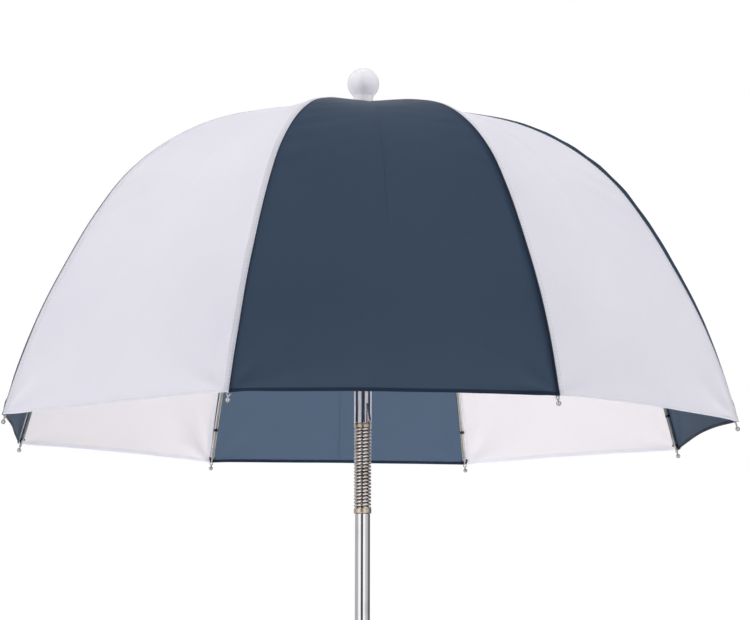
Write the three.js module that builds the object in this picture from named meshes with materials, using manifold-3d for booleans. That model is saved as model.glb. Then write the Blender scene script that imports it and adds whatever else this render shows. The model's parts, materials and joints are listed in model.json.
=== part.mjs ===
// Golf umbrella: eight-panel dome canopy on a two-part pole with a flex spring between the parts.
// Millimetres, +Z up. The pole's axis is Z and its base end rests at z = 0.
// Each rib arm is drawn in its own plane, with x outward from the pole, and turned to its azimuth.
import * as THREE from 'three';
import { mergeVertices } from 'three/addons/utils/BufferGeometryUtils.js';
import Module from 'manifold-3d';

const wasm = await Module();
wasm.setup();

const DEG = Math.PI / 180;
const GAP = 0.3;                       // running clearance between neighbouring pieces

// Levels up the pole
const COLLAR_LOW_Z = 790;              // underside of the lower spring collar
const COLLAR_LOW_HEIGHT = 4;
const SPRING_LENGTH = 64;              // between the two collars
const COLLAR_HIGH_HEIGHT = 3;
const COLLAR_HIGH_Z = COLLAR_LOW_Z + COLLAR_LOW_HEIGHT + SPRING_LENGTH;
const UPPER_TUBE_Z = COLLAR_HIGH_Z + COLLAR_HIGH_HEIGHT + GAP;
const RIM_Z = 849;                     // level of the rib tips
const HINGE_Z = RIM_Z + 263;           // rib hinge circle in the crown notch
const TUBE_TOP_Z = RIM_Z + 270.5;
const FINIAL_Z = RIM_Z + 288;          // centre of the ball finial

// Pole and flex spring
const LOWER_TUBE_RADIUS = 6;
const UPPER_TUBE_RADIUS = 7;
const TUBE_WALL = 1;
const BASE_CAP_HEIGHT = 12;
const BASE_FACE_RADIUS = 5;
const COLLAR_RADIUS = 7;
const WIRE_DIAMETER = 2.3;
const COIL_RADIUS = COLLAR_RADIUS - WIRE_DIAMETER / 2;
const COIL_TURNS = 23;
const SPRING_SECTIONS = ['flex_spring_lower', 'flex_spring_middle', 'flex_spring_upper'];
const SPIGOT_RADIUS = 4;
const SPIGOT_GRIP = 18;                // length of each spigot inside the spring

// Canopy and ribs
const RIB_COUNT = 8;
const FIRST_RIB_AZIMUTH = -67.5;
const RIB_PITCH = 360 / RIB_COUNT;
const FABRIC_LINE = [                  // the outer fabric over a rib: radius, height above the tips
  [8, 269.7], [80, 260], [149, 238], [206, 194.5], [246.5, 134], [279, 69], [302, 0],
];
const FABRIC_THICKNESS = 0.8;
const FABRIC_SAG = 4;                  // how far a panel dips between its ribs
const HEM_SETBACK = 5;                 // hem corner to the end of the fabric line
const HEM_ARCH = 2.5;                  // how much higher the hem is between two ribs
const RIB_DEPTH = 2.7;                 // fabric line down to the top of the rib
const RIB_WIDTH = 3.2;
const RIB_HEIGHT = 2.8;
const RIB_WALL = 0.7;
const RIB_ROOT_RADIUS = 17;
const RIB_END_SETBACK = 9;
const PLATE = 1.6;                     // thickness of tongues and lugs
const HINGE_RADIUS = 11;               // radius of the rib hinge circle
const EYE_RADIUS = 2.2;
const WIRE_RADIUS = 0.5;

// Folding linkage
const LUG_RADIUS_AT = 118;             // how far out the stretcher joint sits
const LUG_DEPTH = 9;                   // fabric line down to the stretcher joint
const LUG_ROUND = 2.6;
const PIN_RADIUS = 0.7;
const CLOSING_ANGLE = 46;              // how far a rib swings in to close
const RUNNER_PIVOT_RADIUS = 12;
const RUNNER_CLOSED_DROP = 213;        // rib hinge circle down to the runner joints, closed
const STRETCHER_HALF_WIDTH = 1.9;

// Runner and catches
const RUNNER_BORE = UPPER_TUBE_RADIUS + 0.4;
const RUNNER_CORE = 9.4;
const RUNNER_CROWN = 15.5;
const RUNNER_TOP = 5;                  // crown top above its joints
const RUNNER_CROWN_BOTTOM = -9.5;
const RUNNER_BOTTOM = -41.5;
const WINDOW_LOW = -37.8;
const WINDOW_HIGH = -22.3;
const CATCH_AZIMUTH = -58;
const CATCH_THICKNESS = 2.2;
const CATCH_LENGTH = 15.4;
const CATCH_PEAK = 9.9;
const CATCH_ROOT = 5;

const paint = (color, roughness, metalness) =>
  new THREE.MeshStandardMaterial({ color, roughness, metalness });
const NAVY = paint(0x38475b, 0.75, 0);
const WHITE_CLOTH = paint(0xdcdee8, 0.75, 0);
const GALVANISED = paint(0xb9bcc0, 0.4, 0.8);
const CHROME = paint(0xc8c8ca, 0.12, 1);
const SPRING_STEEL = paint(0x999390, 0.3, 0.9);
const BRASS = paint(0xb08a5c, 0.35, 0.8);
const GLOSS_WHITE = paint(0xe0dff0, 0.12, 0);
const BLACK_PLASTIC = paint(0x1c1d20, 0.45, 0);

const umbrella = new THREE.Group();

function place(name, geometry, material, parent = umbrella) {
  const mesh = new THREE.Mesh(geometry, material);
  mesh.name = name;
  parent.add(mesh);
  return mesh;
}

// ---- closed solids and booleans ----

function weld(geometry) {
  geometry.deleteAttribute('normal');
  geometry.deleteAttribute('uv');
  return mergeVertices(geometry, 1e-4);
}

function solid(geometry) {
  const welded = weld(geometry);
  return new wasm.Manifold(new wasm.Mesh({
    numProp: 3,
    vertProperties: new Float32Array(welded.attributes.position.array),
    triVerts: new Uint32Array(welded.index.array),
  }));
}

function shapeOf(manifold) {
  const { vertProperties, triVerts } = manifold.getMesh();
  const geometry = new THREE.BufferGeometry();
  geometry.setAttribute('position', new THREE.BufferAttribute(vertProperties, 3));
  geometry.setIndex(new THREE.BufferAttribute(triVerts, 1));
  geometry.computeVertexNormals();
  return geometry;
}

// ---- building blocks ----

// The corners of a regular polygon of radius 1
function corners(count) {
  return Array.from({ length: count }, (_, corner) => {
    const angle = (corner / count) * 2 * Math.PI;
    return [Math.cos(angle), Math.sin(angle)];
  });
}

// A body of revolution about Z from [radius, z] points
function turned(points, segments = 24) {
  const outline = points.map(([radius, z]) => new THREE.Vector2(radius, z));
  return new THREE.LatheGeometry(outline, segments).rotateX(Math.PI / 2);
}

function ring(inner, outer, low, high, segments = 24) {
  return turned([[inner, low], [outer, low], [outer, high], [inner, high], [inner, low]], segments);
}

function rod(radius, low, high, segments = 24) {
  return turned([[0, low], [radius, low], [radius, high], [0, high]], segments);
}

function block(x0, x1, y0, y1, z0, z1) {
  const box = new THREE.BoxGeometry(x1 - x0, y1 - y0, z1 - z0);
  return box.translate((x0 + x1) / 2, (y0 + y1) / 2, (z0 + z1) / 2);
}

// A round disc in the arm's plane: its axis is Y
function disc(x, z, radius, thickness, segments = 12) {
  return new THREE.CylinderGeometry(radius, radius, thickness, segments).translate(x, 0, z);
}

// A plate in the arm's plane, centred on it, from [x, z] points
function plate(points, thickness) {
  const outline = new THREE.Shape(points.map(([x, z]) => new THREE.Vector2(x, z)));
  return new THREE.ExtrudeGeometry(outline, { depth: thickness, bevelEnabled: false })
    .translate(0, 0, -thickness / 2)
    .rotateX(Math.PI / 2);
}

function turnedToward(manifoldOrGeometry, azimuth) {
  return manifoldOrGeometry.rotateZ(azimuth * DEG);
}

function armAzimuth(index) {
  return FIRST_RIB_AZIMUTH + index * RIB_PITCH;
}

// ---- the line of the fabric over a rib ----

const fabricLine = new THREE.SplineCurve(FABRIC_LINE.map(([radius, z]) =>
  new THREE.Vector2(radius, z + RIM_Z)));
fabricLine.arcLengthDivisions = 400;
const LINE_LENGTH = fabricLine.getLength();

// A point a given depth under the fabric line, at a share of its length
function underLine(share, depth) {
  const point = fabricLine.getPointAt(share);
  const along = fabricLine.getTangentAt(share);
  return new THREE.Vector2(point.x + along.y * depth, point.y - along.x * depth);
}

function shareAtRadius(radius) {
  let share = 0;
  while (fabricLine.getPointAt(share).x < radius) share += 0.0005;
  return share;
}

class RibPath extends THREE.Curve {
  constructor(start, end) {
    super();
    this.start = start;
    this.end = end;
  }

  getPoint(t) {
    const point = fabricLine.getPointAt(this.start + (this.end - this.start) * t);
    return new THREE.Vector3(point.x, 0, point.y);
  }
}

// ---- linkage geometry, in an arm's plane ----

const LUG_SHARE = shareAtRadius(LUG_RADIUS_AT);
const lug = underLine(LUG_SHARE, LUG_DEPTH);
const lugReach = Math.hypot(lug.x - HINGE_RADIUS, lug.y - HINGE_Z);
const lugAngleOpen = Math.atan2(lug.x - HINGE_RADIUS, HINGE_Z - lug.y);
const lugAngleClosed = lugAngleOpen - CLOSING_ANGLE * DEG;
const offset = HINGE_RADIUS - RUNNER_PIVOT_RADIUS;
const stretcherLength = Math.hypot(
  lugReach * Math.sin(lugAngleClosed) + offset,
  RUNNER_CLOSED_DROP - lugReach * Math.cos(lugAngleClosed),
);
const reachOpen = lugReach * Math.sin(lugAngleOpen) + offset;
const runnerOpenDrop = lugReach * Math.cos(lugAngleOpen)
  + Math.sqrt(stretcherLength ** 2 - reachOpen ** 2);
const RUNNER_Z = HINGE_Z - runnerOpenDrop;
const stretcherTilt = Math.atan2(lug.y - RUNNER_Z, lug.x - RUNNER_PIVOT_RADIUS);

// ---- pole ----

function addLowerPole() {
  const inner = LOWER_TUBE_RADIUS - TUBE_WALL;
  const tubeTop = COLLAR_LOW_Z - GAP;
  const plugLength = 35;
  place('base_plug', turned([
    [0, 0], [BASE_FACE_RADIUS, 0], [LOWER_TUBE_RADIUS, 2], [LOWER_TUBE_RADIUS, BASE_CAP_HEIGHT],
    [inner - GAP, BASE_CAP_HEIGHT], [inner - GAP, plugLength], [0, plugLength],
  ]), BLACK_PLASTIC);
  place('lower_tube', ring(inner, LOWER_TUBE_RADIUS, BASE_CAP_HEIGHT + GAP, tubeTop), CHROME);
  place('lower_spigot', turned([
    [0, COLLAR_LOW_Z - 50], [inner - GAP, COLLAR_LOW_Z - 50], [inner - GAP, tubeTop],
    [SPIGOT_RADIUS, tubeTop], [SPIGOT_RADIUS, COLLAR_LOW_Z + SPIGOT_GRIP + COLLAR_LOW_HEIGHT],
    [0, COLLAR_LOW_Z + SPIGOT_GRIP + COLLAR_LOW_HEIGHT],
  ]), GALVANISED);
  place('spring_collar_lower', ring(SPIGOT_RADIUS + GAP, COLLAR_RADIUS, COLLAR_LOW_Z,
    COLLAR_LOW_Z + COLLAR_LOW_HEIGHT), BRASS);
  place('spring_collar_upper', ring(SPIGOT_RADIUS + GAP, COLLAR_RADIUS, COLLAR_HIGH_Z,
    COLLAR_HIGH_Z + COLLAR_HIGH_HEIGHT), BRASS);
}

class Helix extends THREE.Curve {
  constructor(startTurn, endTurn) {
    super();
    this.startTurn = startTurn;
    this.endTurn = endTurn;
  }

  getPoint(t) {
    const turn = this.startTurn + (this.endTurn - this.startTurn) * t;
    const low = COLLAR_LOW_Z + COLLAR_LOW_HEIGHT + GAP + WIRE_DIAMETER / 2;
    const high = COLLAR_HIGH_Z - GAP - WIRE_DIAMETER / 2;
    const angle = turn * 2 * Math.PI;
    return new THREE.Vector3(
      COIL_RADIUS * Math.cos(angle),
      COIL_RADIUS * Math.sin(angle),
      low + (high - low) * turn / COIL_TURNS,
    );
  }
}

// The close-wound spring in three stretches, so that it can bend between the two pole parts
function addFlexSpring() {
  const wire = new THREE.Shape(corners(6).map(([x, y]) =>
    new THREE.Vector2(x, y).multiplyScalar(WIRE_DIAMETER / 2)));
  const turnsEach = COIL_TURNS / SPRING_SECTIONS.length;
  const endGap = 0.01;                 // in turns
  const stepsPerTurn = 11;
  SPRING_SECTIONS.forEach((name, index) => {
    const path = new Helix(index * turnsEach + endGap, (index + 1) * turnsEach - endGap);
    place(name, new THREE.ExtrudeGeometry(wire, {
      steps: Math.round(turnsEach * stepsPerTurn),
      extrudePath: path,
    }), SPRING_STEEL);
  });
}

// A slot through one side of a tube, for a catch leaf
function catchSlot(low, high, inner, outer) {
  const half = CATCH_THICKNESS / 2 + GAP;
  return solid(turnedToward(block(inner, outer, -half, half, low - GAP, high + GAP), CATCH_AZIMUTH));
}

const catchLow = UPPER_TUBE_Z + 0.3;
const bottomCatchSpan = [catchLow, catchLow + CATCH_LENGTH];
const topCatchHigh = RUNNER_Z + RUNNER_BOTTOM - GAP;
const topCatchSpan = [topCatchHigh - CATCH_LENGTH, topCatchHigh];
const STOP_PIN_Z = RUNNER_Z + RUNNER_TOP + 1.4;
const STOP_PIN_RADIUS = 1;

function addUpperTube() {
  const inner = UPPER_TUBE_RADIUS - TUBE_WALL;
  const pinHole = new THREE.CylinderGeometry(STOP_PIN_RADIUS + GAP, STOP_PIN_RADIUS + GAP, 30, 12)
    .rotateZ(Math.PI / 2)
    .translate(0, 0, STOP_PIN_Z);
  const tube = solid(ring(inner, UPPER_TUBE_RADIUS, UPPER_TUBE_Z, TUBE_TOP_Z))
    .subtract(catchSlot(...bottomCatchSpan, CATCH_ROOT - 1, 12))
    .subtract(catchSlot(...topCatchSpan, CATCH_ROOT - 1, 12))
    .subtract(solid(pinHole));
  place('upper_tube', shapeOf(tube), CHROME);
  place('stop_pin', new THREE.CylinderGeometry(STOP_PIN_RADIUS, STOP_PIN_RADIUS, 18, 12)
    .rotateZ(Math.PI / 2)
    .translate(0, 0, STOP_PIN_Z), GALVANISED);

  const spigotTop = UPPER_TUBE_Z + 30;
  const spigotLow = COLLAR_HIGH_Z - SPIGOT_GRIP;
  const spigot = solid(turned([
    [0, spigotLow], [SPIGOT_RADIUS, spigotLow], [SPIGOT_RADIUS, UPPER_TUBE_Z],
    [inner - GAP, UPPER_TUBE_Z], [inner - GAP, spigotTop], [0, spigotTop],
  ])).subtract(catchSlot(bottomCatchSpan[0], spigotTop, 1, 8));
  place('upper_spigot', shapeOf(spigot), GALVANISED);
}

// A stamped leaf: a ramp at one end and a blunt stop at the other
function addCatches() {
  const profile = (z, up) => [
    [CATCH_ROOT, z], [CATCH_PEAK, z], [CATCH_PEAK, z + up * 2.2],
    [UPPER_TUBE_RADIUS - 0.6, z + up * CATCH_LENGTH], [CATCH_ROOT, z + up * CATCH_LENGTH],
  ];
  const bottom = plate(profile(bottomCatchSpan[0], 1), CATCH_THICKNESS);
  const top = plate(profile(topCatchSpan[1], -1).reverse(), CATCH_THICKNESS);
  place('bottom_catch', turnedToward(bottom, CATCH_AZIMUTH), CHROME);
  place('top_catch', turnedToward(top, CATCH_AZIMUTH), CHROME);
}

// ---- hubs ----

// Radial slots that each take one arm's tongue
function cutArmSlots(hub, width, from, to, low, high) {
  let cut = hub;
  for (let index = 0; index < RIB_COUNT; index += 1) {
    const slot = turnedToward(block(from, to, -width / 2, width / 2, low, high), armAzimuth(index));
    cut = cut.subtract(solid(slot));
  }
  return cut;
}

function wireRing(radius) {
  const section = corners(6).map(([x, z]) => [HINGE_RADIUS + radius * x, HINGE_Z + radius * z]);
  return turned([...section, section[0]], 24).rotateZ(FIRST_RIB_AZIMUTH * DEG);
}

function addCrown() {
  const bore = UPPER_TUBE_RADIUS + GAP;
  const crownLow = HINGE_Z - 6;
  const crownHigh = HINGE_Z + 3.3;
  const sleeveLow = HINGE_Z - 18;
  const notch = solid(turned([
    [bore, sleeveLow], [9.3, sleeveLow], [9.3, crownLow], [14.5, crownLow], [14.5, crownHigh],
    [bore, crownHigh], [bore, sleeveLow],
  ]));
  const slotted = cutArmSlots(notch, PLATE + 2 * GAP, 8.4, 20, crownLow - 1, crownHigh + 1);
  place('crown_notch', shapeOf(slotted.subtract(solid(wireRing(WIRE_RADIUS + GAP)))), BLACK_PLASTIC);
  place('notch_wire', wireRing(WIRE_RADIUS), GALVANISED);

  const washerRise = RIM_Z + 270.05;
  place('canopy_washer', turned([
    [bore, washerRise], [15, washerRise - 0.8], [15, washerRise], [bore, washerRise + 0.8],
    [bore, washerRise],
  ]), GALVANISED);

  const neckLow = RIM_Z + 271.2;
  const ballRadius = 13;
  const neckRadius = 8;
  const neckAngle = Math.asin(neckRadius / ballRadius);
  const ball = [];
  const ballSteps = 9;
  for (let step = 0; step <= ballSteps; step += 1) {
    const angle = neckAngle + (Math.PI - neckAngle) * step / ballSteps;
    const radius = step === ballSteps ? 0 : ballRadius * Math.sin(angle);
    ball.push([radius, FINIAL_Z - ballRadius * Math.cos(angle)]);
  }
  const plugRadius = UPPER_TUBE_RADIUS - TUBE_WALL - GAP;
  place('finial', turned([
    [0, neckLow - 16], [plugRadius, neckLow - 16], [plugRadius, neckLow], [neckRadius, neckLow],
    ...ball,
  ]), GLOSS_WHITE);
}

function addRunner() {
  const body = solid(turned([
    [RUNNER_BORE, RUNNER_BOTTOM], [11.5, RUNNER_BOTTOM], [11.5, RUNNER_BOTTOM + 3],
    [10, RUNNER_BOTTOM + 6], [10, RUNNER_CROWN_BOTTOM], [RUNNER_CROWN, RUNNER_CROWN_BOTTOM],
    [RUNNER_CROWN, RUNNER_TOP], [RUNNER_BORE, RUNNER_TOP], [RUNNER_BORE, RUNNER_BOTTOM],
  ]));
  const half = CATCH_THICKNESS / 2 + GAP;
  const window = turnedToward(block(6, 14, -half, half, WINDOW_LOW, WINDOW_HIGH), CATCH_AZIMUTH);
  const slotted = cutArmSlots(body, PLATE + 0.8, RUNNER_CORE, 20,
    RUNNER_CROWN_BOTTOM - 1, RUNNER_TOP + 1);
  const runner = place('runner', shapeOf(slotted.subtract(solid(window))), BLACK_PLASTIC);
  runner.position.z = RUNNER_Z;
}

// ---- arms ----

// A rib: a U channel along the fabric line, a hinge tongue at its root and a lug for its stretcher
function ribGeometry() {
  const half = RIB_WIDTH / 2;
  const low = RIB_DEPTH + RIB_HEIGHT;
  const web = RIB_DEPTH + RIB_WALL;
  const channel = new THREE.Shape([
    [-half, RIB_DEPTH], [half, RIB_DEPTH], [half, low], [half - RIB_WALL, low],
    [half - RIB_WALL, web], [RIB_WALL - half, web], [RIB_WALL - half, low], [-half, low],
  ].map(([x, y]) => new THREE.Vector2(x, y)));
  const start = shareAtRadius(RIB_ROOT_RADIUS);
  const end = 1 - RIB_END_SETBACK / LINE_LENGTH;
  const sweep = new THREE.ExtrudeGeometry(channel, { steps: 13, extrudePath: new RibPath(start, end) });

  const inWeb = RIB_DEPTH + RIB_WALL / 2;
  const under = (radius, depth) => {
    const point = underLine(shareAtRadius(radius), depth);
    return [point.x, point.y];
  };
  const tongue = plate([
    [HINGE_RADIUS, HINGE_Z - 2], [HINGE_RADIUS + 12, HINGE_Z - 0.6], under(28, inWeb + 1),
    under(27, inWeb), under(RIB_ROOT_RADIUS + 0.5, inWeb), [HINGE_RADIUS + 3, HINGE_Z + 2.4],
    [HINGE_RADIUS, HINGE_Z + 2],
  ], PLATE);

  const foot = underLine(LUG_SHARE, inWeb);
  const across = new THREE.Vector2(lug.y - foot.y, foot.x - lug.x).normalize()
    .multiplyScalar(LUG_ROUND);
  const lugPlate = plate([
    [lug.x - across.x, lug.y - across.y], [foot.x - across.x, foot.y - across.y],
    [foot.x + across.x, foot.y + across.y], [lug.x + across.x, lug.y + across.y],
  ], PLATE);

  return shapeOf(solid(sweep)
    .add(solid(tongue))
    .add(solid(disc(HINGE_RADIUS, HINGE_Z, EYE_RADIUS, PLATE)))
    .add(solid(lugPlate))
    .add(solid(disc(lug.x, lug.y, LUG_ROUND, PLATE)))
    .subtract(solid(disc(HINGE_RADIUS, HINGE_Z, WIRE_RADIUS + GAP, 5, 8)))
    .subtract(solid(disc(lug.x, lug.y, PIN_RADIUS + GAP, 5, 8))));
}

// A stretcher, drawn along x from its runner joint at 0 to its rib joint: a U channel whose two
// walls straddle the rib's lug and carry the pin, with a flat tongue at the runner end
function stretcherGeometry() {
  const wall = 0.8;
  const half = 2.2;                    // half the channel's height
  const outer = STRETCHER_HALF_WIDTH;
  const channelStart = 10;
  const webEnd = stretcherLength - 8;
  const wallAt = (side) => {
    const y = side * (outer - wall / 2);
    return solid(block(channelStart, stretcherLength, y - wall / 2, y + wall / 2, -half, half))
      .add(solid(disc(stretcherLength, 0, half, wall).translate(0, y, 0)));
  };
  const headWidth = 2 * (outer + 0.5);
  return shapeOf(wallAt(1)
    .add(wallAt(-1))
    .add(solid(block(channelStart, webEnd, -outer, outer, -half, wall - half)))
    .add(solid(block(0, 18, -PLATE / 2, PLATE / 2, 0.2 - half, half - 0.4)))
    .add(solid(disc(0, 0, EYE_RADIUS, PLATE)))
    .add(solid(disc(stretcherLength, 0, PIN_RADIUS, headWidth, 8)))
    .add(solid(disc(stretcherLength, 0, 1.3, 0.7, 8).translate(0, outer + 0.2, 0)))
    .add(solid(disc(stretcherLength, 0, 1.3, 0.7, 8).translate(0, -outer - 0.2, 0)))
    .subtract(solid(disc(0, 0, WIRE_RADIUS + GAP, 5, 8))));
}

// A rib tip: a stem inside the channel, a sewing eyelet collar and a round bead
function tipGeometry() {
  const bead = 1.95;
  const points = [[0, -16], [0.7, -16], [0.7, -7.5], [1.6, -7], [1.6, -5], [0.9, -4.5]];
  const steps = 4;
  for (let step = 0; step <= steps; step += 1) {
    const angle = (25 + (180 - 25) * step / steps) * DEG;
    points.push([step === steps ? 0 : bead * Math.sin(angle), -bead * Math.cos(angle)]);
  }
  return turned(points, 10);
}

// Half a canopy panel, from its rib (lateral 0) to the panel's middle (lateral 1 or -1). A box is
// bent: x runs across the half panel, y from crown to hem and z through the fabric.
function halfPanelGeometry(side) {
  const across = 2;
  const along = 10;
  const chordDrop = (1 - Math.cos(RIB_PITCH * DEG)) / 2;
  const chordHalf = Math.sin(RIB_PITCH * DEG) / 2;
  const box = new THREE.BoxGeometry(1, 1, 1, across, along, 1);
  const position = box.attributes.position;
  for (let index = 0; index < position.count; index += 1) {
    const lateral = position.getX(index) + side / 2;
    const share = position.getY(index) + 0.5;
    const inside = position.getZ(index) + 0.5;
    const spread = Math.abs(lateral);
    const dip = Math.sin(spread * Math.PI / 2);
    const hem = 1 - (HEM_SETBACK + HEM_ARCH * dip) / LINE_LENGTH;
    const along01 = share * hem;
    const point = fabricLine.getPointAt(along01);
    const tangent = fabricLine.getTangentAt(along01);
    const x = point.x * (1 - chordDrop * spread);
    const y = THREE.MathUtils.lerp(GAP / 2, point.x * chordHalf - GAP / 2, spread) * Math.sign(side);
    const depth = inside * FABRIC_THICKNESS + FABRIC_SAG * dip * Math.sin(along01 * Math.PI);
    const radius = Math.hypot(x, y) + tangent.y * depth;
    const azimuth = Math.atan2(y, x);
    position.setXYZ(index, radius * Math.cos(azimuth), radius * Math.sin(azimuth),
      point.y - tangent.x * depth);
  }
  return shapeOf(solid(box));
}

function addArms() {
  const rib = ribGeometry();
  const stretcher = stretcherGeometry();
  const tip = tipGeometry();
  const halves = { left: halfPanelGeometry(1), right: halfPanelGeometry(-1) };
  const tipSpot = underLine(1, RIB_DEPTH + RIB_WALL + 1.1);
  const tipHeading = fabricLine.getTangentAt(1);
  for (let index = 0; index < RIB_COUNT; index += 1) {
    const number = index + 1;
    const arm = new THREE.Group();
    arm.rotation.z = armAzimuth(index) * DEG;
    umbrella.add(arm);
    place(`rib_${number}`, rib, GALVANISED, arm);

    const strut = place(`stretcher_${number}`, stretcher, GALVANISED, arm);
    strut.position.set(RUNNER_PIVOT_RADIUS, 0, RUNNER_Z);
    strut.rotation.y = -stretcherTilt;

    const bead = place(`rib_tip_${number}`, tip, GALVANISED, arm);
    bead.position.set(tipSpot.x, 0, tipSpot.y);
    bead.rotation.y = Math.atan2(tipHeading.x, tipHeading.y);

    // Panels alternate in colour; an odd rib has navy on its right and white on its left
    const odd = index % 2 === 1;
    place(`panel_half_${number}_left`, halves.left, odd ? NAVY : WHITE_CLOTH, arm);
    place(`panel_half_${number}_right`, halves.right, odd ? WHITE_CLOTH : NAVY, arm);
  }
}

addLowerPole();
addFlexSpring();
addUpperTube();
addCatches();
addCrown();
addRunner();
addArms();

export default umbrella;
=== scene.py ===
"""Golf bag umbrella: the looks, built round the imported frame. +Z up.

Lengths are in millimetres, as in the CAD, and MM turns them into Blender's metres. Only the
materials, the camera and the lamps are written in metres.
"""
import json
from math import asin, atan2, cos, degrees, hypot, pi, radians, sin, tan

import bmesh
import bpy
import numpy as np
from mathutils import Matrix, Vector


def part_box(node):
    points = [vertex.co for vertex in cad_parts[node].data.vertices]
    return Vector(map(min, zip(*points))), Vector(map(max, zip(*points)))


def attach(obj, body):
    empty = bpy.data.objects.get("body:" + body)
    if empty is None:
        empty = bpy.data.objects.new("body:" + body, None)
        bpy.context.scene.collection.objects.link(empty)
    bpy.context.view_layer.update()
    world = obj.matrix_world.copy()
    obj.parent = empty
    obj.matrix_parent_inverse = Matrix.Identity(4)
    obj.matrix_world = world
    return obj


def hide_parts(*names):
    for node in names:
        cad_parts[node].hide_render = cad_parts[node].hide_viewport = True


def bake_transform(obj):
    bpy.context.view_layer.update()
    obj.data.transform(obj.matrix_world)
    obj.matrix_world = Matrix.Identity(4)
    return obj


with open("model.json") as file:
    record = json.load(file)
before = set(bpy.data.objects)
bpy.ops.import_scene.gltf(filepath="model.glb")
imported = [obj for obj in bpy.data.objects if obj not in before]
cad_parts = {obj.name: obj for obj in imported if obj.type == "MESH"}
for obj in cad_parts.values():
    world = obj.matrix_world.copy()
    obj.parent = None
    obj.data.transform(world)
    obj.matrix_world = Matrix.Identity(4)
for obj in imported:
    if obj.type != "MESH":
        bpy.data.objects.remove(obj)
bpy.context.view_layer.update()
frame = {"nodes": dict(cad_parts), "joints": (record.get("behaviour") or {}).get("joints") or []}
MM = 0.001
IDENTITY = Matrix()

# ---- driving sizes
RIB_COUNT = 8
RIB_PITCH = radians(360 / RIB_COUNT)
FIRST_RIB = radians(-67.5)
CATCH_AZIMUTH = radians(-58)

CLOTH_THICKNESS = 0.3
CLOTH_SAG = 4           # how far a panel dips between its ribs
HEM_ARCHES = (2.5, 4.5, 1.0, 0.5, 1.0, 4.0, 0.5, 2.0)  # rise of each panel's hem between its ribs
HEM_WIDTH = 2.4
HEM_RELIEF = 0.25       # the turned hem stands this much proud of the cloth
SEAM_SHIFT = 2          # the seam lies this far counter-clockwise of the rib's middle
SEAM_WIDTH = 5          # the felled seam, on the white side
SEAM_RELIEF = 0.25
SEAM_TUCK = 0.2         # valley in the cloth along the other side of a seam
SLACK = {               # panel: beside its first rib or not, share of the way down, reach, height
    2: (True, 0.52, 0.42, 6.0),
    6: (False, 0.88, 0.08, 0.8),
}
CREST_ROUND = 1.6       # how softly the cloth bends over a rib
STITCH_LENGTH = 2.1
STITCH_PITCH = 3.0
STITCH_RADIUS = 0.16
THREAD_RADIUS = 0.2     # the black thread of the ties and corners
CLOTH_ACROSS = 24       # cells across half a panel
CLOTH_ALONG = 88        # cells from crown to hem

RIB_DEPTH = 1.7         # cloth down to the rib
RIB_WIDTH = 2.8
RIB_HEIGHT = 2.6
RIB_WALL = 0.45
PLATE = 1.5             # tongues and lugs
PLATE_END = 2.1         # radius of a tongue's round end

WIRE_RADIUS = 1.2       # flex spring
COIL_TURNS = 23
COIL_STEPS = 28
WIRE_SIDES = 10

AMBIENT = 0.31          # even light of the surround on everything that isn't a mirror


# ---- sizes taken from the frame
def box(name):
    """The low and high corners of a CAD node."""
    return [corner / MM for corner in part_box(name)]


def heights(name):
    return [corner.z for corner in box(name)]


def pivot(name):
    """Radius and height of a joint."""
    x, y, z = next(joint for joint in frame["joints"] if joint["name"] == name)["pos_m"]
    return hypot(x, y) / MM, z / MM


HINGE_RADIUS, HINGE_Z = pivot("rib_hinge_1")
LUG_RADIUS, LUG_Z = pivot("stretcher_hinge_1")
RUNNER_LOW, RUNNER_HIGH = heights("runner")
RUNNER_PIVOT_Z = RUNNER_HIGH - 5
RUNNER_PIVOT_RADIUS = 12
COLLAR_RADIUS = box("spring_collar_upper")[1].y
ARMS = range(1, RIB_COUNT + 1)


def arm_azimuth(number):
    return FIRST_RIB + (number - 1) * RIB_PITCH


def arm_turn(number):
    return Matrix.Rotation(arm_azimuth(number), 4, "Z")


# ---- colours and node helpers
def srgb(red, green, blue):
    """A linear colour from sRGB values of 0 to 255."""
    def linear(value):
        value /= 255
        return value / 12.92 if value <= 0.04045 else ((value + 0.055) / 1.055) ** 2.4
    return (linear(red), linear(green), linear(blue), 1.0)


def darker(colour, share):
    return tuple(channel * share for channel in colour[:3]) + (1.0,)


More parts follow.
